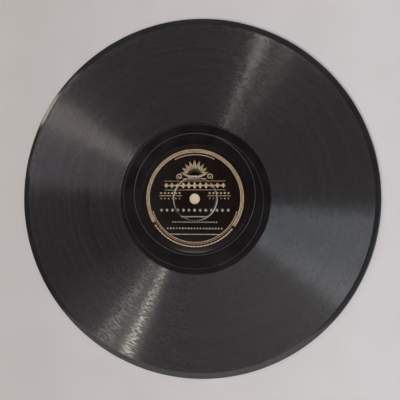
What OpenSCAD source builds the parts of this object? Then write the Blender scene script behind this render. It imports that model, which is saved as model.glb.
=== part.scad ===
// Ten-inch shellac record, recorded at 78 turns a minute: one pressed disc with a paper label
// moulded into its upper side. The disc lies flat, its spindle axis is Z and its underside is at Z = 0.
// All lengths are in millimetres and all angles in degrees.

/* [Disc] */
// Diameter over the rounded rim
disc_d = 250.8; // [248:0.1:256]
// Thickness over the two playing faces
disc_t = 2.1; // [1.8:0.05:2.6]
// Radius of the rim's two rounded edges
rim_round = 0.85; // [0.3:0.05:0.9]
// Diameter of the spindle hole
spindle_hole_d = 7.3; // [7.2:0.01:7.6]

/* [Recording groove] */
// Width of the smooth margin between the rim and the outermost turn
smooth_margin = 4; // [3:0.1:10]
// Distance between neighbouring turns
groove_pitch = 0.28; // [0.26:0.01:0.4]
// Width of the groove at the face
groove_w = 0.16; // [0.1:0.01:0.2]
// Depth of the groove below the face
groove_depth = 0.07; // [0.03:0.01:0.1]

/* [Run-out and stop groove] */
// Distance that the run-out groove moves inwards in one turn
run_out_pitch = 6.35; // [5:0.05:7]
// Angle that the run-out groove covers beyond its one full turn
run_out_lap = 60; // [30:1:120]
// Width of the run-out groove at the face
run_out_w = 0.32; // [0.16:0.01:0.4]
// Depth of the run-out groove below the face
run_out_depth = 0.12; // [0.06:0.01:0.15]
// Diameter of the stop groove, which trips the player's brake
stop_groove_d = 85; // [84:0.1:88]
// Distance of the stop groove's centre from the spindle axis
stop_groove_offset = 3.2; // [2:0.05:3.6]
// Direction from the axis to the stop groove's farthest point, measured from X
stop_groove_turned = 100; // [0:1:360]
// Width of the stop groove at the face
stop_groove_w = 0.55; // [0.42:0.01:0.7]
// Depth of the stop groove below the face
stop_groove_depth = 0.2; // [0.16:0.01:0.25]

/* [Label] */
// Diameter of the paper label
label_d = 75.6; // [70:0.1:76]
// Thickness of the paper
label_t = 0.12; // [0.08:0.01:0.2]
// How far the label's face lies below the playing face
label_sink = 0.04; // [0.01:0.01:0.1]
// Clearance between the paper's edge and the wall of its seat
label_gap = 0.05; // [0.02:0.01:0.1]
// Middle diameter of the ring that the mould presses into the label
pressed_ring_d = 30.5; // [24:0.1:40]
// Width of the pressed ring
pressed_ring_w = 1.7; // [1:0.1:3]
// Depth of the pressed ring
pressed_ring_depth = 0.25; // [0.1:0.01:0.3]
// Clearance between the paper and its seat under the pressed ring
pressed_ring_gap = 0.02; // [0.01:0.01:0.05]

/* [Hidden] */
$fn = 96;

// The flat part of each face ends where the rim's rounding starts
face_r = disc_d / 2 - rim_round;

// The run-out is drawn in half turns about two centres, which lie a quarter of its pitch either side
// of the axis, so that each half turn runs on from the last without a kink. It is reckoned outwards
// from the point where it joins the stop groove.
run_out_shift = run_out_pitch / 4;
stop_far_r = stop_groove_d / 2 + stop_groove_offset;
run_out_last_r = stop_far_r + run_out_shift;
run_out_middle_r = run_out_last_r + 2 * run_out_shift;
run_out_first_r = run_out_middle_r + 2 * run_out_shift;
run_out_start = [
  run_out_first_r * cos(-run_out_lap) - run_out_shift,
  run_out_first_r * sin(-run_out_lap)
];

// The recording ends where the run-out starts, and fills the face with whole turns from there outwards
groove_end_r = norm(run_out_start);
groove_turns = floor((disc_d / 2 - smooth_margin - groove_end_r) / groove_pitch);

// The cutters of the run-out and stop grooves stand this far proud of the face
cutter_rise = 0.05;

// The label and the floor of its seat
label_face = disc_t - label_sink;
label_floor = label_face - label_t;

// The pressed ring is an arc in section, with this radius on the label's face
pressed_ring_round = (pow(pressed_ring_w / 2, 2) + pow(pressed_ring_depth, 2)) / (2 * pressed_ring_depth);
pressed_ring_centre = [pressed_ring_d / 2, label_face + pressed_ring_round - pressed_ring_depth];

// Section of one groove in a face at height 0, from its outer lip to its inner one
function vee(r, w, depth) = [[r + w / 2, 0], [r, -depth], [r - w / 2, 0]];

// Edge of the grooved face at height 0, from the outermost turn to the innermost
groove_edge = [
  for (turn = [groove_turns:-1:0]) each vee(groove_end_r + turn * groove_pitch, groove_w, groove_depth)
];
upper_edge = [for (p = groove_edge) [p[0], disc_t + p[1]]];

// A quarter of a round, which rounds one edge of the rim
module quarter_round(r) {
  intersection() {
    circle(r);
    square(r);
  }
}

// Half section of the rim outside the flat faces
module rim_section() {
  translate([face_r, rim_round]) square([rim_round, disc_t - 2 * rim_round]);
  translate([face_r, disc_t - rim_round]) quarter_round(rim_round);
  translate([face_r, rim_round]) mirror([0, 1]) quarter_round(rim_round);
}

// Half section of the seat that the upper face has for the label
module seat_section() {
  translate([0, label_floor]) square([label_d / 2 + label_gap, disc_t]);
  translate(pressed_ring_centre) circle(pressed_ring_round + label_t + pressed_ring_gap);
}

// Half section of the disc, with the recorded upper face and both label seats
module disc_section() {
  difference() {
    union() {
      polygon(concat([[0, 0], [face_r, 0], [face_r, disc_t]], upper_edge, [[0, disc_t]]));
      rim_section();
    }
    square([spindle_hole_d, 3 * disc_t], center = true);
    seat_section();
    translate([0, disc_t]) mirror([0, 1]) seat_section();
  }
}

// Half section of the label, whose paper follows the pressed ring at an even thickness
module label_section() {
  difference() {
    union() {
      translate([0, label_floor]) square([label_d / 2, label_t]);
      intersection() {
        translate(pressed_ring_centre) circle(pressed_ring_round + label_t);
        translate([0, label_face - disc_t]) square([label_d / 2, disc_t]);
      }
    }
    translate(pressed_ring_centre) circle(pressed_ring_round);
    square([spindle_hole_d, 3 * disc_t], center = true);
  }
}

// Cutter for a groove that runs round an arc in a face at height 0
module groove_cutter(r, w, depth, angle) {
  spread = w / 2 * (1 + cutter_rise / depth);
  rotate_extrude(angle = angle) polygon([[r + spread, cutter_rise], [r, -depth], [r - spread, cutter_rise]]);
}

// Cutters for one face's run-out and its stop groove, with the stop groove's farthest point on X
module run_out_cutters() {
  translate([-run_out_shift, 0, 0]) {
    groove_cutter(run_out_first_r, run_out_w, run_out_depth, -run_out_lap);
    rotate(180) groove_cutter(run_out_last_r, run_out_w, run_out_depth, 180);
  }
  translate([run_out_shift, 0, 0]) groove_cutter(run_out_middle_r, run_out_w, run_out_depth, 180);
  translate([stop_groove_offset, 0, 0]) groove_cutter(stop_groove_d / 2, stop_groove_w, stop_groove_depth, 360);
}

// The pressed disc
module shellac_disc() {
  color([0.09, 0.09, 0.1]) difference() {
    rotate_extrude() disc_section();
    translate([0, 0, disc_t]) rotate(stop_groove_turned) run_out_cutters();
    rotate([180, 0, 0]) rotate(stop_groove_turned) run_out_cutters();
  }
}

// The paper label in its seat
module paper_label() {
  color([0.72, 0.58, 0.34]) rotate_extrude() label_section();
}

shellac_disc();
paper_label();
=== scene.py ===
import math

import bpy
import numpy as np
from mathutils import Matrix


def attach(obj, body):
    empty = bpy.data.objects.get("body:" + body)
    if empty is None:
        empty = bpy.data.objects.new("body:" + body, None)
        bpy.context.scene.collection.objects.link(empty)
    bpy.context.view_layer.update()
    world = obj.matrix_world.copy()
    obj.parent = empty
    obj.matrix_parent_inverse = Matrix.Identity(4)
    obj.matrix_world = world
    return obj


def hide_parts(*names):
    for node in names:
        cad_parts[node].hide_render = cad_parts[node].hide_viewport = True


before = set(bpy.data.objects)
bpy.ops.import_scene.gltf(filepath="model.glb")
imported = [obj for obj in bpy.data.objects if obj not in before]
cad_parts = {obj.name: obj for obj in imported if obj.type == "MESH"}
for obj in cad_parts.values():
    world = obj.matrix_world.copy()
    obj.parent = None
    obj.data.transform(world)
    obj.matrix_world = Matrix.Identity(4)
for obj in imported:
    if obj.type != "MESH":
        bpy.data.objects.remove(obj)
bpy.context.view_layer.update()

# Sizes in metres, the same as in the part's source
MM = 0.001
DISC_R = 125.4 * MM
DISC_T = 2.1 * MM
RIM_ROUND = 0.85 * MM
HOLE_R = 3.65 * MM
MARGIN_W = 4 * MM
GROOVE_PITCH = 0.28 * MM
GROOVE_W = 0.16 * MM
GROOVE_DEPTH = 0.07 * MM
RUN_OUT_PITCH = 6.35 * MM
RUN_OUT_LAP = math.radians(60)
RUN_OUT_W = 0.32 * MM
RUN_OUT_DEPTH = 0.12 * MM
STOP_R = 42.5 * MM
STOP_OFFSET = 3.2 * MM
STOP_TURNED = math.radians(100)
STOP_W = 0.55 * MM
STOP_DEPTH = 0.2 * MM
LABEL_R = 37.8 * MM
LABEL_T = 0.12 * MM
LABEL_SINK = 0.04 * MM
LABEL_GAP = 0.05 * MM
RING_R = 15.25 * MM
RING_W = 1.7 * MM
RING_DEPTH = 0.25 * MM
RING_GAP = 0.02 * MM

# Sizes that follow from those
FACE_R = DISC_R - RIM_ROUND
LABEL_FACE = DISC_T - LABEL_SINK
LABEL_FLOOR = LABEL_FACE - LABEL_T
SEAT_R = LABEL_R + LABEL_GAP
RING_ROUND = (RING_W**2 / 4 + RING_DEPTH**2) / (2 * RING_DEPTH)
RING_HEIGHT = LABEL_FACE + RING_ROUND - RING_DEPTH
RUN_OUT_SHIFT = RUN_OUT_PITCH / 4
STOP_FAR_R = STOP_R + STOP_OFFSET

# One whole turn
TURN = 2 * math.pi

# The grooved sheets are this thick, and lie in a recess of the disc's core
SHEET_T = 0.2 * MM
# Width of the land inside the last turn of the recorded band
EDGE_LAND = 0.05 * MM
# Rounding of the edge round the label's seat, and of the paper's own edge
SEAT_ROUND = 0.1 * MM
PAPER_ROUND = 0.03 * MM
# Width of the land that takes the shading of a groove's lip
LIP = 0.015 * MM
# The recorded groove starts at this share of its size, and grows to its full size over this angle
GROOVE_START_SHARE = 0.02
GROOVE_START_TRAVEL = 0.6
# The run-out widens from the recorded groove's width to its own over this angle
RUN_OUT_START_TRAVEL = 0.5

# How far the shading of the worn lands and flanks leans from upright, at their edges
LAND_AT_OUTER_EDGE = math.radians(12)
LAND_AT_INNER_EDGE = math.radians(4)
FLANK_AT_LIP = math.radians(34)
FLANK_AT_BOTTOM = math.radians(42)

# How finely the round pieces are cut, round the axis and then in section
ROUND_STEPS = 360
GROOVE_STEPS = 128
DEAD_WAX_STEPS = 720
RIM_STEPS = 12
RING_STEPS = 14
ROUND_GROOVE_STEPS = 12
SEAT_EDGE_STEPS = 5
PAPER_EDGE_STEPS = 4
WALL_STEPS = 16

# Edges that turn by more than this are shaded as sharp
SHARP_ANGLE = math.radians(24)

# Each sample along the recorded groove has three points, in this order
SAMPLE_POINTS = 3
OUTER_LIP, BOTTOM, INNER_LIP = range(SAMPLE_POINTS)


def outward(points, faces):
    """The same four-cornered faces, turned to face out of the solid that they enclose."""
    a, b, c, d = [points[faces[:, i]] for i in range(4)]
    volume = np.sum(a * (np.cross(b, c) + np.cross(c, d)))
    return faces if volume > 0 else faces[:, ::-1]


def new_object(name, points, faces, closed=True):
    """A mesh object from points and four-cornered faces, which face outwards where they enclose a solid."""
    points = np.asarray(points, dtype=np.float64)
    faces = np.asarray(faces, dtype=np.int32)
    if closed:
        faces = np.ascontiguousarray(outward(points, faces))
    mesh = bpy.data.meshes.new(name)
    mesh.vertices.add(len(points))
    mesh.vertices.foreach_set("co", points.astype(np.float32).ravel())
    mesh.loops.add(faces.size)
    mesh.loops.foreach_set("vertex_index", faces.ravel())
    mesh.polygons.add(len(faces))
    mesh.polygons.foreach_set("loop_start", np.arange(len(faces), dtype=np.int32) * faces.shape[1])
    mesh.update(calc_edges=True)
    mesh.validate()
    mesh.shade_smooth()
    mesh.set_sharp_from_angle(angle=SHARP_ANGLE)
    piece = bpy.data.objects.new(name, mesh)
    bpy.context.scene.collection.objects.link(piece)
    return piece


def grid_faces(rows, columns, closed_rows=False, closed_columns=False):
    """Faces of a grid whose points are listed row by row."""
    down = np.arange(rows if closed_rows else rows - 1)
    along = np.arange(columns if closed_columns else columns - 1)
    row, column = np.meshgrid(down, along, indexing="ij")
    next_row = (row + 1) % rows
    next_column = (column + 1) % columns
    corners = [
        row * columns + column,
        row * columns + next_column,
        next_row * columns + next_column,
        next_row * columns + column,
    ]
    return np.stack([corner.ravel() for corner in corners], axis=1)


def strip_faces(outer, inner):
    """Faces between two rows of point numbers."""
    return np.stack([outer[:-1], inner[:-1], inner[1:], outer[1:]], axis=1)


def ring_points(radius, angle, height):
    """Points at those radii, angles and heights, which may each be one number or a row."""
    radius, angle, height = np.broadcast_arrays(radius, angle, height)
    return np.stack([radius * np.cos(angle), radius * np.sin(angle), height], axis=-1)


def lathe(name, section, closed=True):
    """A section of (radius, height) points, turned about the spindle axis."""
    angles = np.arange(ROUND_STEPS) * TURN / ROUND_STEPS
    points = np.concatenate([ring_points(radius, angles, height) for radius, height in section])
    faces = grid_faces(len(section), ROUND_STEPS, closed_rows=closed, closed_columns=True)
    return new_object(name, points, faces, closed)


def arc(centre, radius, start, end, steps):
    """Points on an arc of a section, with both ends, for angles in degrees."""
    angles = np.radians(np.linspace(start, end, steps + 1))
    return [(centre[0] + radius * math.cos(a), centre[1] + radius * math.sin(a)) for a in angles]


def pressed_ring(radius, level):
    """The pressed ring's arc in section from the inside out, between its two ends at that level."""
    rise = RING_HEIGHT - level
    reach = math.degrees(math.acos(rise / radius))
    return arc((RING_R, RING_HEIGHT), radius, 270 - reach, 270 + reach, RING_STEPS)


def two_sided(section):
    """A section's upper side followed by the same side turned over."""
    return section + [(r, DISC_T - z) for r, z in reversed(section)]


def arc_radius(angle, shift, radius):
    """Distance from the axis of a shifted circle, at an angle to the stop groove's direction."""
    return shift * np.cos(angle) + np.sqrt(radius**2 - (shift * np.sin(angle)) ** 2)


def run_out_radius(travel):
    """Distance from the axis of the run-out groove, by the angle travelled since its start."""
    angle = travel - RUN_OUT_LAP
    first = arc_radius(angle, -RUN_OUT_SHIFT, STOP_FAR_R + 5 * RUN_OUT_SHIFT)
    middle = arc_radius(angle, RUN_OUT_SHIFT, STOP_FAR_R + 3 * RUN_OUT_SHIFT)
    last = arc_radius(angle, -RUN_OUT_SHIFT, STOP_FAR_R + RUN_OUT_SHIFT)
    return np.where(angle < 0, first, np.where(angle < math.pi, middle, last))


# The recording ends where the run-out starts, and fills the face with whole turns out to the margin
GROOVE_END_R = float(run_out_radius(np.array(0.0)))
GROOVE_END_ANGLE = STOP_TURNED - RUN_OUT_LAP
GROOVE_TURNS = int((DISC_R - MARGIN_W - GROOVE_END_R) / GROOVE_PITCH)
MARGIN_R = GROOVE_END_R + (GROOVE_TURNS + 1) * GROOVE_PITCH


def make_core():
    """The disc's core: the spindle hole, both label seats, the margins and the rim."""
    band_floor = DISC_T - SHEET_T
    seat = [(HOLE_R, LABEL_FLOOR)] + pressed_ring(RING_ROUND + LABEL_T + RING_GAP, LABEL_FLOOR)
    recess = [(SEAT_R, LABEL_FLOOR), (SEAT_R, band_floor), (MARGIN_R, band_floor), (MARGIN_R, DISC_T)]
    rim = arc((FACE_R, DISC_T - RIM_ROUND), RIM_ROUND, 90, 0, RIM_STEPS)
    return lathe("disc_core", two_sided(seat + recess + rim))


def make_groove_band():
    """The recorded band: one spiral groove that turns inwards from the margin to the run-out."""
    count = GROOVE_TURNS * GROOVE_STEPS + 1
    travel = np.arange(count) * TURN / GROOVE_STEPS
    angle = GROOVE_END_ANGLE + travel
    middle = GROOVE_END_R + GROOVE_PITCH * (GROOVE_TURNS - travel / TURN)
    # The groove starts from almost nothing in the first part of its first turn
    start = np.clip(travel / GROOVE_START_TRAVEL, GROOVE_START_SHARE, 1)
    half = start * GROOVE_W / 2
    outer_lip = ring_points(middle + half, angle, DISC_T)
    bottom = ring_points(middle, angle, DISC_T - start * GROOVE_DEPTH)
    inner_lip = ring_points(middle - half, angle, DISC_T)
    turns = np.stack([outer_lip, bottom, inner_lip], axis=1).reshape(-1, 3)
    # The two flanks run along the groove, and the land lies between one turn and the next one further in
    sample = np.arange(count) * SAMPLE_POINTS
    outer_lips, bottoms, inner_lips = [sample + part for part in (OUTER_LIP, BOTTOM, INNER_LIP)]
    faces = [
        strip_faces(outer_lips, bottoms),
        strip_faces(bottoms, inner_lips),
        strip_faces(inner_lips[:-GROOVE_STEPS], outer_lips[GROOVE_STEPS:]),
    ]
    # The outside of the first turn and the inside of the last one end in plain walls
    columns = GROOVE_STEPS + 1
    inside_r = middle[-columns:] - GROOVE_W / 2 - EDGE_LAND
    walls = [
        ring_points(MARGIN_R, angle[:columns], DISC_T - SHEET_T),
        ring_points(MARGIN_R, angle[:columns], DISC_T),
        ring_points(inside_r, angle[:columns], DISC_T),
        ring_points(inside_r, angle[:columns], DISC_T - SHEET_T),
    ]
    wall_rows = [len(turns) + number * columns + np.arange(columns) for number in range(len(walls))]
    low_outside, outside, inside, low_inside = wall_rows
    faces += [
        strip_faces(low_outside, outside),
        strip_faces(outside, outer_lips[:columns]),
        strip_faces(inner_lips[-columns:], inside),
        strip_faces(inside, low_inside),
        strip_faces(low_inside, low_outside),
    ]
    band = new_object("groove_band_upper", np.concatenate([turns] + walls), np.concatenate(faces))
    round_shading(band.data, count)
    return band


def round_shading(mesh, count):
    """Shades the groove's lands and flanks as slightly rounded, by the way each corner's normal leans."""
    corners = np.empty(len(mesh.loops), dtype=np.int32)
    mesh.loops.foreach_get("vertex_index", corners)
    corners = corners.reshape(-1, 4)
    places = np.empty(len(mesh.vertices) * 3, dtype=np.float32)
    mesh.vertices.foreach_get("co", places)
    places = places.reshape(-1, 3)[corners]
    role = corners % SAMPLE_POINTS
    in_groove = np.all(corners < SAMPLE_POINTS * count, axis=1)
    outer, bottom, inner = [
        in_groove & np.any(role == part, axis=1) for part in (OUTER_LIP, BOTTOM, INNER_LIP)
    ]
    lean = np.zeros(corners.shape)
    for chosen, outward_role, outward_lean, inward_lean in (
        (outer & bottom, OUTER_LIP, -FLANK_AT_LIP, -FLANK_AT_BOTTOM),
        (bottom & inner, BOTTOM, FLANK_AT_BOTTOM, FLANK_AT_LIP),
        (inner & outer, INNER_LIP, LAND_AT_OUTER_EDGE, LAND_AT_INNER_EDGE),
    ):
        lean[chosen] = np.where(role[chosen] == outward_role, outward_lean, inward_lean)
    radius = np.hypot(places[..., 0], places[..., 1])[..., None]
    normals = places / radius * np.sin(lean)[..., None]
    normals[..., 2] = np.cos(lean)
    # A normal of no length leaves the plain walls with their own shading
    normals[~in_groove] = 0
    mesh.normals_split_custom_set(normals.reshape(-1, 3).tolist())


def round_groove(outer, inner, depth):
    """Radii and heights across a groove with a round bottom and rounded lips, from its outer lip inwards.

    A row just outside each lip keeps the groove's smooth shading off the plain land.
    """
    yield outer + LIP, DISC_T
    for step in range(ROUND_GROOVE_STEPS + 1):
        share = step / ROUND_GROOVE_STEPS
        fall = (1 - math.cos(TURN * share)) / 2
        yield outer + (inner - outer) * share, DISC_T - depth * fall
    yield inner - LIP, DISC_T


def make_dead_wax():
    """The plain land inside the recorded band, with the run-out groove and the stop groove in it."""
    travel = np.linspace(0, TURN, DEAD_WAX_STEPS + 1)
    angle = GROOVE_END_ANGLE + travel
    stop = arc_radius(travel - RUN_OUT_LAP, STOP_OFFSET, STOP_R)
    stop_lip = stop + STOP_W / 2
    band_edge = GROOVE_END_R + GROOVE_PITCH * (1 - travel / TURN) - GROOVE_W / 2 - EDGE_LAND
    pass_one = run_out_radius(travel)
    pass_two = run_out_radius(travel + TURN)
    # The run-out's second pass narrows to nothing where it runs into the stop groove
    open_part = np.clip((pass_two - stop_lip) / RUN_OUT_W + 0.5, 0, 1)
    open_part = np.where(travel > RUN_OUT_LAP, 0, open_part)
    joined = np.where(travel > RUN_OUT_LAP, stop_lip + RUN_OUT_W, pass_two)
    inner_two = np.maximum(joined - open_part * RUN_OUT_W / 2, stop_lip + 3 * LIP)
    outer_two = np.maximum(joined + open_part * RUN_OUT_W / 2, inner_two + LIP)
    # The first pass starts at the width of the recorded groove
    widen = np.clip(travel / RUN_OUT_START_TRAVEL, 0, 1)
    half_one = (GROOVE_W + (RUN_OUT_W - GROOVE_W) * widen) / 2
    depth_one = GROOVE_DEPTH + (RUN_OUT_DEPTH - GROOVE_DEPTH) * widen
    outer_one = np.minimum(pass_one + half_one, band_edge - 2 * LIP)
    rows = [(band_edge, DISC_T - SHEET_T), (band_edge, DISC_T)]
    rows += round_groove(outer_one, pass_one - half_one, depth_one)
    rows += round_groove(outer_two, inner_two, open_part * RUN_OUT_DEPTH)
    rows += round_groove(stop_lip, stop - STOP_W / 2, STOP_DEPTH)
    rows.append((SEAT_R + SEAT_ROUND + LIP, DISC_T))
    rows += arc((SEAT_R + SEAT_ROUND, DISC_T - SEAT_ROUND), SEAT_ROUND, 90, 180, SEAT_EDGE_STEPS)
    rows.append((SEAT_R, DISC_T - SHEET_T))
    points = np.concatenate([ring_points(radius, angle, height) for radius, height in rows])
    faces = grid_faces(len(rows), len(travel), closed_rows=True)
    return new_object("dead_wax_upper", points, faces)


def turned_over(piece, name):
    """The same piece on the other side of the disc."""
    other = bpy.data.objects.new(name, piece.data)
    other.rotation_euler = (math.pi, 0, 0)
    other.location = (0, 0, DISC_T)
    bpy.context.scene.collection.objects.link(other)
    return other


def make_label():
    """The paper label, which follows the pressed ring."""
    face = [(HOLE_R, LABEL_FACE)] + pressed_ring(RING_ROUND, LABEL_FACE)
    edge_centre = (LABEL_R - PAPER_ROUND, LABEL_FACE - PAPER_ROUND)
    edge = arc(edge_centre, PAPER_ROUND, 90, 0, PAPER_EDGE_STEPS)
    back = pressed_ring(RING_ROUND + LABEL_T, LABEL_FLOOR)
    floor = [(LABEL_R, LABEL_FLOOR)] + back[::-1] + [(HOLE_R, LABEL_FLOOR)]
    return lathe("label_paper", face + edge + floor)


# The label's print lies this far above the paper, and its middle lies this far above the spindle
PRINT_LIFT = 0.012 * MM
PRINT_SHIFT = 0.45 * MM


def label_height(radius):
    """Height of the label's face at those radii."""
    aside = np.clip(np.abs(radius - RING_R), 0, RING_W / 2)
    return RING_HEIGHT - np.sqrt(RING_ROUND**2 - aside**2)


class Print:
    """Flat printed shapes, each a strip between two edges given in millimetres."""

    # Rows of faces across each strip
    STRIPS = 3
    # Lengths between the points of a straight row and of a line round the label
    BAR_STEP = 0.7
    RING_STEP = 0.5236
    # Share of the width that a pointed end keeps, so that no face closes up
    TIP = 0.001

    def __init__(self):
        self.points = []
        self.faces = []
        self.count = 0

    def strip(self, left, right):
        """Faces between two edges, laid on the label's face."""
        left = np.asarray(left, dtype=float)
        right = np.asarray(right, dtype=float)
        share = np.linspace(0, 1, self.STRIPS + 1)[:, None, None]
        flat = (left + (right - left) * share) * MM
        flat[..., 1] += PRINT_SHIFT
        height = label_height(np.hypot(flat[..., 0], flat[..., 1])) + PRINT_LIFT
        self.points.append(np.concatenate([flat, height[..., None]], axis=-1).reshape(-1, 3))
        self.faces.append(grid_faces(self.STRIPS + 1, len(left)) + self.count)
        self.count += flat[..., 0].size

    def spine(self, points, across, half):
        """A strip along a line of points, with that half width across it on either side."""
        across = np.asarray(across) * np.asarray(half)[:, None]
        self.strip(points - across, points + across)

    def bar(self, start, end, y, height):
        """A straight row from one x to another."""
        x = np.linspace(start, end, max(3, int((end - start) / self.BAR_STEP)))
        line = np.stack([x, np.full_like(x, y)], axis=1)
        self.spine(line, np.tile((0, 1), (len(x), 1)), np.full_like(x, height / 2))

    def lozenge(self, x, y, width, height, turn=0.0):
        """A diamond whose width lies along a line at that angle."""
        share = np.linspace(-1, 1, 11)
        along = np.array([math.cos(turn), math.sin(turn)])
        line = np.array([x, y]) + share[:, None] * along * width / 2
        across = np.tile((-along[1], along[0]), (len(share), 1))
        self.spine(line, across, height / 2 * (1 + self.TIP - np.abs(share)))

    def dot(self, x, y, radius):
        """A round dot."""
        share = np.linspace(-1, 1, 13)
        line = np.array([x, y]) + share[:, None] * np.array([radius, 0])
        across = np.tile((0, 1), (len(share), 1))
        self.spine(line, across, radius * np.sqrt(1 + self.TIP - share**2))

    def ring_line(self, radius, width, start, end):
        """A line round the label between two bearings in degrees, clockwise from the top."""
        length = math.radians(end - start) * radius
        bearing = np.radians(np.linspace(start, end, max(4, int(length / self.RING_STEP))))
        out = np.stack([np.sin(bearing), np.cos(bearing)], axis=1)
        self.spine(out * radius, out, np.full(len(out), width / 2))

    def ring_row(self, radius, start, end, count):
        """Evenly spaced places round the label, each with the direction of the ring there."""
        for bearing in np.radians(np.linspace(start, end, count)):
            yield radius * math.sin(bearing), radius * math.cos(bearing), -bearing

    def petal(self, x, y, bearing, length, width, rib):
        """A leaf that grows from a point in that bearing, split along its rib."""
        share = np.linspace(0, 1, 22)
        along = np.array([math.sin(bearing), math.cos(bearing)])
        aside = np.array([math.cos(bearing), -math.sin(bearing)])
        line = np.array([x, y]) + share[:, None] * along * length
        # The powers make the leaf widest nearer its root and blunt its ends
        half = width / 2 * np.sin(math.pi * share**0.75) ** 0.8 + 0.01
        for side in (-1, 1):
            inner = np.minimum(rib / 2, half * 0.5)
            self.strip(line + side * inner[:, None] * aside, line + side * half[:, None] * aside)

    def scroll(self, x, y, side, size, width):
        """A spiral curl that opens to one side."""
        first_angle = -1.1
        sweep = 9.0
        eye = 0.25
        share = np.linspace(0, 1, 60)
        angle = first_angle + share * sweep
        radius = size * (1 - share) ** 0.9 + eye
        out = np.stack([side * np.cos(angle), np.sin(angle)], axis=1)
        line = np.array([x, y]) + out * radius[:, None]
        # The curl is thin at both ends
        self.spine(line, out, width / 2 * (0.35 + 0.65 * np.sin(math.pi * share) ** 0.5))

    def finish(self, name):
        """One object of all the shapes printed so far."""
        return new_object(name, np.concatenate(self.points), np.concatenate(self.faces), closed=False)


def print_border():
    """The gold border: fine lines round the top and sides, and beading round the foot."""
    sheet = Print()
    lines = 3
    inner_r = 31.95
    outer_r = 34.15
    gap = 0.42
    width = (outer_r - inner_r + gap) / lines - gap
    for number in range(lines):
        radius = inner_r + width / 2 + number * (width + gap)
        sheet.ring_line(radius, width, -120, 125)
    bead_r = 33.6
    for x, y, turn in sheet.ring_row(bead_r, 130, 235, 26):
        sheet.lozenge(x, y, 1.75, 1.3, turn)
    for x, y, _ in sheet.ring_row(bead_r, 132.1, 232.9, 25):
        sheet.dot(x, y, 0.32)
    sheet.ring_line(31.9, 0.2, 112, 248)
    for x, y, turn in sheet.ring_row(30.8, 108, 252, 52):
        sheet.lozenge(x, y, 1.2, 0.95, turn)
    for x, y, _ in sheet.ring_row(30.4, -26, 26, 19):
        sheet.dot(x, y, 0.45)
    return sheet.finish("label_border")


def print_ornament():
    """The printed upper half: a fan of leaves over a band of diamonds, with short rows beside the hole."""
    sheet = Print()
    foot = 14.2
    for number in range(-4, 5):
        bearing = math.radians(18 * number)
        sheet.petal(0, foot + 0.6, bearing, 12.2 - 0.42 * abs(number), 2.7, 0.3)
    sheet.bar(-8.5, 8.5, foot - 0.7, 0.55)
    for side in (-1, 1):
        sheet.scroll(side * 10.6, foot + 0.9, side, 2.0, 0.7)
        sheet.bar(min(side * 9, side * 25), max(side * 9, side * 25), 1.7, 0.4)
        for number in range(6):
            x = side * (10.6 + 2.6 * number)
            sheet.lozenge(x, 3.6, 1.9, 1.5)
            sheet.dot(x, -0.2, 0.42)
    spacing = 4.0
    middle = 8.9
    for number in range(-5, 6):
        sheet.lozenge(spacing * number, middle, 3.1, 5.2 - 0.34 * abs(number))
    for number in range(-5, 5):
        sheet.dot(spacing * (number + 0.5), middle, 0.55)
    for y in (12.0, 5.8):
        sheet.bar(-21.5, 21.5, y, 0.28)
    return sheet.finish("label_ornament")


def print_rows():
    """Plain printed rows below the hole."""
    sheet = Print()
    for number in range(-6, 7):
        sheet.lozenge(3.9 * number, -8.3, 2.3, 2.5)
    sheet.bar(-9.5, 9.5, -12.8, 0.7)
    for number in range(-9, 10):
        sheet.dot(1.7 * number, -16.6, 0.5)
    for number in range(-9, 10):
        sheet.lozenge(2.1 * number, -21.0, 1.5, 1.6)
    sheet.bar(-17.5, 17.5, -25.1, 0.6)
    return sheet.finish("label_rows")


core = make_core()
band_upper = make_groove_band()
band_lower = turned_over(band_upper, "groove_band_lower")
dead_wax_upper = make_dead_wax()
dead_wax_lower = turned_over(dead_wax_upper, "dead_wax_lower")
label = make_label()
border = print_border()
ornament = print_ornament()
rows = print_rows()


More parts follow.
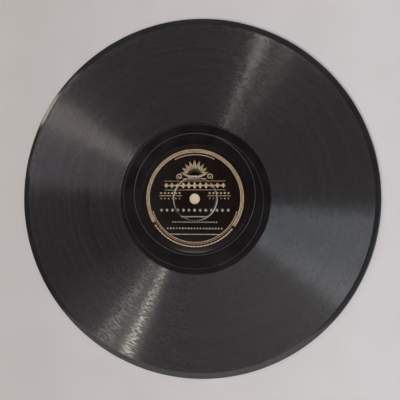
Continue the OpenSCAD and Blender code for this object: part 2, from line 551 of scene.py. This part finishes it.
class Nodes:
    """Adds nodes to one material and links them."""

    # Range that a noise seldom leaves
    NOISE_RANGE = (0.3, 0.7)
    # Operations on vectors that give a number
    GIVE_NUMBERS = ("LENGTH", "DOT_PRODUCT")

    def __init__(self, name):
        self.material = bpy.data.materials.new(name)
        self.material.use_nodes = True
        self.tree = self.material.node_tree
        self.shader = self.tree.nodes["Principled BSDF"]

    def add(self, kind, **settings):
        """A new node with those settings."""
        node = self.tree.nodes.new(kind)
        for key, value in settings.items():
            setattr(node, key, value)
        return node

    def link(self, source, target):
        """Links an output to an input."""
        self.tree.links.new(source, target)

    def feed(self, value, socket):
        """Sets an input to a number or to several, or links an output to it."""
        if isinstance(value, (int, float, tuple)):
            socket.default_value = value
        else:
            self.link(value, socket)

    def maths(self, operation, first, second=0.0):
        """A number worked out from one or two numbers."""
        node = self.add("ShaderNodeMath", operation=operation)
        self.feed(first, node.inputs[0])
        self.feed(second, node.inputs[1])
        return node.outputs[0]

    def vector(self, operation, *values):
        """A vector or a number worked out from vectors."""
        node = self.add("ShaderNodeVectorMath", operation=operation)
        for value, socket in zip(values, node.inputs):
            self.feed(value, socket)
        return node.outputs["Value" if operation in self.GIVE_NUMBERS else "Vector"]

    def place(self):
        """Each point's place in the object's own frame."""
        return self.add("ShaderNodeTexCoord").outputs["Object"]

    def along(self, axis):
        """Each point's place along one axis."""
        split = self.add("ShaderNodeSeparateXYZ")
        self.link(self.place(), split.inputs[0])
        return split.outputs[axis]

    def flat_place(self):
        """Each point's place as seen along the spindle axis."""
        return self.vector("MULTIPLY", self.place(), (1, 1, 0))

    def polar(self, around, across):
        """A seamless vector round the axis and across the face, in features a turn and a millimetre."""
        flat = self.flat_place()
        share = around / TURN
        spread = self.vector("MULTIPLY", self.vector("NORMALIZE", flat), (share, share, share))
        rise = self.add("ShaderNodeCombineXYZ")
        self.link(self.maths("MULTIPLY", self.vector("LENGTH", flat), across / MM), rise.inputs["Z"])
        return self.vector("ADD", spread, rise.outputs[0])

    def near_diameter(self, bearing):
        """How close a place lies to a diameter, as the cosine of the angle between them about the axis."""
        unit = self.vector("NORMALIZE", self.flat_place())
        along = (math.sin(bearing), math.cos(bearing), 0)
        return self.maths("ABSOLUTE", self.vector("DOT_PRODUCT", unit, along))

    def noise(self, vector, scale=1.0, detail=2.0, roughness=0.5):
        """Smooth random numbers from 0 to 1."""
        node = self.add("ShaderNodeTexNoise")
        self.link(vector, node.inputs["Vector"])
        node.inputs["Scale"].default_value = scale
        node.inputs["Detail"].default_value = detail
        node.inputs["Roughness"].default_value = roughness
        return node.outputs["Fac"]

    def between(self, value, low, high, low_in=0.0, high_in=1.0):
        """Maps a value from one range to another, and stops at both ends."""
        node = self.add("ShaderNodeMapRange")
        self.link(value, node.inputs["Value"])
        node.inputs["From Min"].default_value = low_in
        node.inputs["From Max"].default_value = high_in
        node.inputs["To Min"].default_value = low
        node.inputs["To Max"].default_value = high
        return node.outputs["Result"]

    def spread(self, noise, low, high):
        """Maps a noise's usual range to another, and stops at both ends."""
        return self.between(noise, low, high, *self.NOISE_RANGE)

    def blend(self, factor, first, second):
        """A colour between two colours."""
        node = self.add("ShaderNodeMix", data_type="RGBA")
        # The mix node has sockets of the same names for numbers, vectors and colours
        amount, colour_a, colour_b = node.inputs[0], node.inputs[6], node.inputs[7]
        self.feed(factor, amount)
        for value, socket in ((first, colour_a), (second, colour_b)):
            self.feed((*value, 1.0) if isinstance(value, tuple) else value, socket)
        return node.outputs[2]

    def bump(self, height, strength, distance):
        """Fine relief in the shading."""
        node = self.add("ShaderNodeBump")
        self.link(height, node.inputs["Height"])
        node.inputs["Strength"].default_value = strength
        node.inputs["Distance"].default_value = distance
        self.link(node.outputs["Normal"], self.shader.inputs["Normal"])

    def set(self, **values):
        """Sets or links the shader's own inputs, named with underscores for spaces."""
        for key, value in values.items():
            self.feed(value, self.shader.inputs[key.replace("_", " ")])

    def show_flat(self, colour, share):
        """Mixes a plain colour into what the camera and mirror-like surfaces see of this material."""
        path = self.add("ShaderNodeLightPath")
        seen = path.outputs["Is Camera Ray"]
        for name in ("Is Glossy Ray", "Is Transmission Ray"):
            seen = self.maths("MAXIMUM", seen, path.outputs[name])
        plain = self.add("ShaderNodeEmission")
        self.link(colour, plain.inputs["Color"])
        mixed = self.add("ShaderNodeMixShader")
        self.link(self.maths("MULTIPLY", seen, share), mixed.inputs[0])
        self.link(self.shader.outputs[0], mixed.inputs[1])
        self.link(plain.outputs[0], mixed.inputs[2])
        self.link(mixed.outputs[0], self.tree.nodes["Material Output"].inputs["Surface"])


# The shellac in the grooves, dark and where wear has made it paler
GROOVE_DARK = (0.013, 0.011, 0.012)
GROOVE_PALE = (0.0278, 0.0242, 0.0258)
# The scuffed diameter's bearing, the angles from it where the scuffs are full and faint, and how faint
SCUFF_BEARING = math.radians(28)
SCUFF_FULL = math.radians(13)
SCUFF_FAINT = math.radians(30)
SCUFF_LEAST = 0.2
# How much less rough the groove's flanks are than its lands, and the depths between which that comes in
FLANK_POLISH = 0.085
FLANK_SHALLOW = 0.005 * MM
FLANK_DEEP = 0.03 * MM


def shellac_groove():
    """Grooved shellac: smooth along the groove and rough across it, with wear along the turns."""
    look = Nodes("shellac_groove")
    turns = look.noise(look.polar(5, 0.42), detail=3, roughness=0.7)
    passages = look.noise(look.polar(1.5, 0.12), detail=2)
    grain = look.noise(look.polar(180, 1.0), detail=0)
    look.set(Base_Color=look.blend(look.spread(turns, 0, 1), GROOVE_DARK, GROOVE_PALE))
    # A sleeve has scuffed the grooves along one diameter
    near = look.near_diameter(SCUFF_BEARING)
    scuffed = look.between(near, SCUFF_LEAST, 1, math.cos(SCUFF_FAINT), math.cos(SCUFF_FULL))
    scuffs = look.maths("MULTIPLY", look.between(grain, -0.075, 0.06, 0.35, 0.65), scuffed)
    shine = look.maths("ADD", look.spread(passages, 0.255, 0.27), scuffs)
    shine = look.maths("ADD", shine, look.spread(turns, -0.02, 0.02))
    flanks = look.between(look.along("Z"), FLANK_POLISH, 0, DISC_T - FLANK_DEEP, DISC_T - FLANK_SHALLOW)
    look.set(Roughness=look.maths("SUBTRACT", shine, flanks))
    look.set(Anisotropic=1.0, Anisotropic_Rotation=0.25, IOR=1.55, Specular_IOR_Level=0.75)
    tangent = look.add("ShaderNodeTangent", direction_type="RADIAL", axis="Z")
    look.set(Tangent=tangent.outputs[0])
    look.bump(grain, 0.7, 0.03 * MM)
    return look.material


# The grey dust in the wider grooves, the depths between which it thickens, and how much it dulls them
DUST = (0.085, 0.08, 0.082)
DUST_SHALLOW = 0.02 * MM
DUST_DEEP = 0.08 * MM
DUST_DULLS = 0.1


def shellac_smooth(name, dark, pale, polish, specular, dusty):
    """Plain shellac with a worn polish, and with pale dust in its grooves where it is dusty."""
    look = Nodes(name)
    place = look.place()
    clouds = look.noise(place, scale=60, detail=4)
    fine = look.noise(place, scale=900, detail=3)
    colour = look.blend(look.between(clouds, 0, 1, 0.35, 0.7), dark, pale)
    shine = look.between(look.maths("MULTIPLY", clouds, fine), *polish, 0.1, 0.4)
    if dusty:
        dust = look.between(look.along("Z"), 1, 0, DISC_T - DUST_DEEP, DISC_T - DUST_SHALLOW)
        colour = look.blend(dust, colour, DUST)
        shine = look.maths("ADD", shine, look.maths("MULTIPLY", dust, DUST_DULLS))
    look.set(Base_Color=colour, Roughness=shine, IOR=1.55, Specular_IOR_Level=specular)
    look.bump(fine, 0.05, 0.01 * MM)
    return look.material


# The label's black print, whole and worn, and the pale colour of a painted highlight along the pressed ring
PRINT_BLACK = (0.0106, 0.0066, 0.0053)
PRINT_WORN = (0.017, 0.011, 0.009)
PAINTED_GLINT_COLOUR = (0.5, 0.49, 0.48)
# The painted highlight's half width where it is full and where it fades out, how far its middle lies to the
# right of the spindle, and the bearing of the diameter near which it is strongest
GLINT_FULL = 0.15 * MM
GLINT_FADED = 0.45 * MM
GLINT_SHIFT = 0.45 * MM
GLINT_BEARING = math.radians(112)


def label_paper():
    """Black printed paper with a little fibre and shine, and a painted highlight along the pressed ring."""
    look = Nodes("label_paper")
    place = look.place()
    fibre = look.noise(place, scale=2600, detail=4, roughness=0.65)
    wear = look.noise(place, scale=140, detail=4)
    colour = look.blend(look.between(wear, 0, 1, 0.35, 0.75), PRINT_BLACK, PRINT_WORN)
    # A painted highlight: a pale line along the pressed ring, strongest on two sides, stands in for the
    # ring's glints
    shifted = look.vector("ADD", look.flat_place(), (-GLINT_SHIFT, 0, 0))
    aside = look.maths("ABSOLUTE", look.maths("SUBTRACT", look.vector("LENGTH", shifted), RING_R))
    glint_line = look.between(aside, 1, 0, GLINT_FULL, GLINT_FADED)
    glint_sides = look.between(look.near_diameter(GLINT_BEARING), 0.05, 1, 0.45, 0.95)
    look.set(Base_Color=look.blend(look.maths("MULTIPLY", glint_line, glint_sides), colour, PAINTED_GLINT_COLOUR))
    look.set(Roughness=look.spread(fibre, 0.06, 0.08), IOR=1.45, Specular_IOR_Level=0.56)
    look.bump(fibre, 0.15, 0.02 * MM)
    return look.material


def label_ink(name, pale, worn):
    """Bronze printing ink, thin and rubbed in places."""
    look = Nodes(name)
    place = look.place()
    rub = look.noise(place, scale=420, detail=5, roughness=0.6)
    speck = look.noise(place, scale=3200, detail=2)
    rubbed = look.between(rub, 0, 1, 0.3, 0.62)
    specked = look.between(speck, 0.55, 1, 0.3, 0.6)
    look.set(Base_Color=look.blend(look.maths("MULTIPLY", rubbed, specked), worn, pale))
    look.set(Metallic=0.15, Roughness=0.5)
    look.bump(speck, 0.1, 0.01 * MM)
    return look.material


grooved = shellac_groove()
smooth = shellac_smooth(
    "shellac_smooth",
    dark=(0.0195, 0.0174, 0.0184),
    pale=(0.0285, 0.0256, 0.027),
    polish=(0.04, 0.09),
    specular=0.3,
    dusty=False,
)
run_out = shellac_smooth(
    "shellac_run_out",
    dark=(0.0075, 0.0064, 0.007),
    pale=(0.0125, 0.0107, 0.0117),
    polish=(0.1, 0.24),
    specular=0.36,
    dusty=True,
)
paper = label_paper()
gold_ink = label_ink("gold_ink", pale=(0.84, 0.63, 0.41), worn=(0.53, 0.39, 0.26))
cream_ink = label_ink("cream_ink", pale=(0.64, 0.49, 0.3), worn=(0.36, 0.27, 0.17))
pale_ink = label_ink("pale_ink", pale=(0.5, 0.44, 0.36), worn=(0.24, 0.21, 0.17))
for piece, material in (
    (core, smooth),
    (band_upper, grooved),
    (band_lower, grooved),
    (dead_wax_upper, run_out),
    (dead_wax_lower, run_out),
    (label, paper),
    (border, gold_ink),
    (ornament, cream_ink),
    (rows, pale_ink),
):
    # A piece that is turned over shares the other one's mesh, and with it the material
    if not piece.data.materials:
        piece.data.materials.append(material)
    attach(piece, "root")
for piece in (core, band_upper, band_lower, dead_wax_upper, dead_wax_lower):
    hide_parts("shellac_disc")
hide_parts("paper_label")


# The floor's level, and the low curved wall that closes it off all round
FLOOR_LEVEL = -0.2 * MM
FLOOR_HALF = 3.0
WALL_R = 2.8
WALL_CURVE = 0.4
WALL_TOP = 0.7
# The floor's colours left and right of the record, darker to the left as painted shade, and far from it
FLOOR_PAINTED_SHADE_LEFT = (0.666, 0.644, 0.619)
FLOOR_PAINTED_LIGHT_RIGHT = (0.859, 0.83, 0.828)
FLOOR_FAR = (0.78, 0.755, 0.745)
# The plain colours that show far from the record and, as painted light, through the spindle hole, and how
# much they show
PLAIN_FAR = (0.55, 0.52, 0.51)
PAINTED_LIGHT_UNDER_HOLE = (0.68, 0.47, 0.27)
PLAIN_SHARE = 0.5


def floor_material():
    """A plain pale floor, a little paler towards the right as painted shade, with painted light under the
    spindle hole.
    """
    look = Nodes("pale_floor")
    place = look.place()
    grain = look.noise(place, scale=30, detail=5)
    # Painted shade: the floor's colour darkens towards the left of the record, as the light falls off there
    right = look.between(look.along("X"), 0, 1, -DISC_R, DISC_R)
    grain_and_painted_shade = look.maths("ADD", right, look.spread(grain, -0.1, 0.1))
    from_middle = look.vector("LENGTH", place)
    far = look.between(from_middle, 0, 1, 2 * DISC_R, FLOOR_HALF / 2)
    look.set(Base_Color=look.blend(far, look.blend(grain_and_painted_shade, FLOOR_PAINTED_SHADE_LEFT, FLOOR_PAINTED_LIGHT_RIGHT), FLOOR_FAR))
    look.set(Roughness=0.8, Specular_IOR_Level=0.2)
    # Painted light: a cream glow shows through the spindle hole and lifts the shade that the hole's walls
    # cast on the floor
    painted_light_under_hole = look.between(from_middle, 1, 0, HOLE_R, 2 * HOLE_R)
    share = look.maths("MULTIPLY", look.maths("MAXIMUM", painted_light_under_hole, far), PLAIN_SHARE)
    look.show_flat(look.blend(painted_light_under_hole, PLAIN_FAR, PAINTED_LIGHT_UNDER_HOLE), share)
    return look.material


def make_floor(material):
    """A flat square of floor under the record."""
    signs = ((-1, -1), (1, -1), (1, 1), (-1, 1))
    corners = [(x * FLOOR_HALF, y * FLOOR_HALF, FLOOR_LEVEL) for x, y in signs]
    floor = new_object("floor", corners, [(0, 1, 2, 3)], closed=False)
    floor.data.materials.append(material)


def make_wall(material):
    """A low wall that rises from the floor in a curve, so that low views end in the same pale colour."""
    curve_centre = (WALL_R - WALL_CURVE, FLOOR_LEVEL + WALL_CURVE)
    section = arc(curve_centre, WALL_CURVE, 270, 360, WALL_STEPS) + [(WALL_R, WALL_TOP)]
    wall = lathe("wall", section, closed=False)
    wall.data.materials.append(material)


pale_floor = floor_material()
make_floor(pale_floor)
make_wall(pale_floor)


# The photograph's camera, worked out from the record's outline and its rings in the 400 pixel frame
FRAME_PX = 400
FOCAL_PX = 529.5
HOLE_X_PX = 194.6
HOLE_Y_PX = 198.9
SENSOR_MM = 36
CAMERA_DISTANCE = 368.5 * MM
CAMERA_LEAN = math.radians(7.6)


def make_camera():
    """A camera above the record, which leans to the right of the spindle axis and looks at the hole."""
    data = bpy.data.cameras.new("photo_camera")
    data.sensor_width = SENSOR_MM
    data.lens = SENSOR_MM * FOCAL_PX / FRAME_PX
    data.shift_x = (FRAME_PX / 2 - HOLE_X_PX) / FRAME_PX
    data.shift_y = (HOLE_Y_PX - FRAME_PX / 2) / FRAME_PX
    data.clip_start = 0.01
    camera = bpy.data.objects.new("photo_camera", data)
    camera.location = (
        CAMERA_DISTANCE * math.sin(CAMERA_LEAN),
        0,
        DISC_T + CAMERA_DISTANCE * math.cos(CAMERA_LEAN),
    )
    camera.rotation_euler = (0, CAMERA_LEAN, 0)
    bpy.context.scene.collection.objects.link(camera)
    bpy.context.scene.camera = camera


make_camera()


def area_light(name, bearing, elevation, distance, size, power, colour=(1, 1, 1)):
    """A rectangular lamp that faces the record, placed by clockwise bearing and angle above the floor."""
    data = bpy.data.lights.new(name, "AREA")
    data.shape = "RECTANGLE"
    data.size, data.size_y = size
    data.energy = power
    data.color = colour
    lamp = bpy.data.objects.new(name, data)
    around = math.radians(bearing)
    up = math.radians(elevation)
    flat = distance * math.cos(up)
    lamp.location = (flat * math.sin(around), flat * math.cos(around), distance * math.sin(up))
    lamp.rotation_euler = lamp.location.to_track_quat("Z", "Y").to_euler()
    bpy.context.scene.collection.objects.link(lamp)


# Each lamp's bearing and elevation are in degrees, its distance and size in metres
WARM = (1.0, 0.95, 0.84)
area_light("window", 287.5, 34, 2.0, size=(0.8, 0.6), power=5.2, colour=(1.0, 0.75, 0.83))
area_light("window_edge", 294.7, 56, 2.0, size=(0.156, 0.3), power=1.95, colour=(1.0, 0.9, 0.74))
area_light("window_top", 291.2, 62.3, 2.03, size=(0.52, 0.12), power=0.4, colour=(1.0, 0.9, 0.8))
area_light("sky", 115.8, 64, 2.0, size=(0.64, 0.3), power=5.3, colour=(0.62, 0.88, 1.0))
area_light("lamp", 213.4, 46, 6.0, size=(0.15, 0.24), power=52, colour=WARM)
area_light("second_lamp", 221.4, 46, 6.0, size=(0.34, 0.24), power=20, colour=WARM)
area_light("ceiling", 181, 63.7, 1.63, size=(2.05, 0.5), power=4.66)

# The room's light is dim about this direction, from the wide angle inwards, and dimmest in the narrow one
OVERHEAD = (0.02, 0.05, 0.9985)
OVERHEAD_WIDE = 0.42
OVERHEAD_NARROW = 0.12
ROOM_LEVEL = 0.69
ROOM_DIMMEST = 0.02
ROOM_COLOUR = (1, 0.92, 0.96, 1)


def make_world():
    """Soft light from all round, dimmer to the left, low down and straight overhead."""
    world = bpy.data.worlds.new("room")
    world.use_nodes = True
    bpy.context.scene.world = world
    tree = world.node_tree

    def ramp(value, low_in, high_in, low, high):
        node = tree.nodes.new("ShaderNodeMapRange")
        node.interpolation_type = "SMOOTHSTEP"
        tree.links.new(value, node.inputs["Value"])
        limits = {"From Min": low_in, "From Max": high_in, "To Min": low, "To Max": high}
        for name, number in limits.items():
            node.inputs[name].default_value = number
        return node.outputs["Result"]

    direction = tree.nodes.new("ShaderNodeTexCoord").outputs["Generated"]
    split = tree.nodes.new("ShaderNodeSeparateXYZ")
    tree.links.new(direction, split.inputs[0])
    overhead = tree.nodes.new("ShaderNodeVectorMath")
    overhead.operation = "DOT_PRODUCT"
    tree.links.new(direction, overhead.inputs[0])
    overhead.inputs[1].default_value = OVERHEAD
    wide = math.cos(OVERHEAD_WIDE)
    narrow = math.cos(OVERHEAD_NARROW)
    level = ramp(overhead.outputs["Value"], wide, narrow, ROOM_LEVEL, ROOM_DIMMEST)
    sideways = ramp(split.outputs["X"], -0.5, 0.4, low=0.06, high=1.5)
    upwards = ramp(split.outputs["Z"], 0.58, 0.87, low=0.1, high=1.0)
    for share in (sideways, upwards):
        product = tree.nodes.new("ShaderNodeMath")
        product.operation = "MULTIPLY"
        tree.links.new(level, product.inputs[0])
        tree.links.new(share, product.inputs[1])
        level = product.outputs[0]
    background = tree.nodes["Background"]
    background.inputs["Color"].default_value = ROOM_COLOUR
    tree.links.new(level, background.inputs["Strength"])


make_world()
bpy.context.scene.view_settings.view_transform = "Standard"
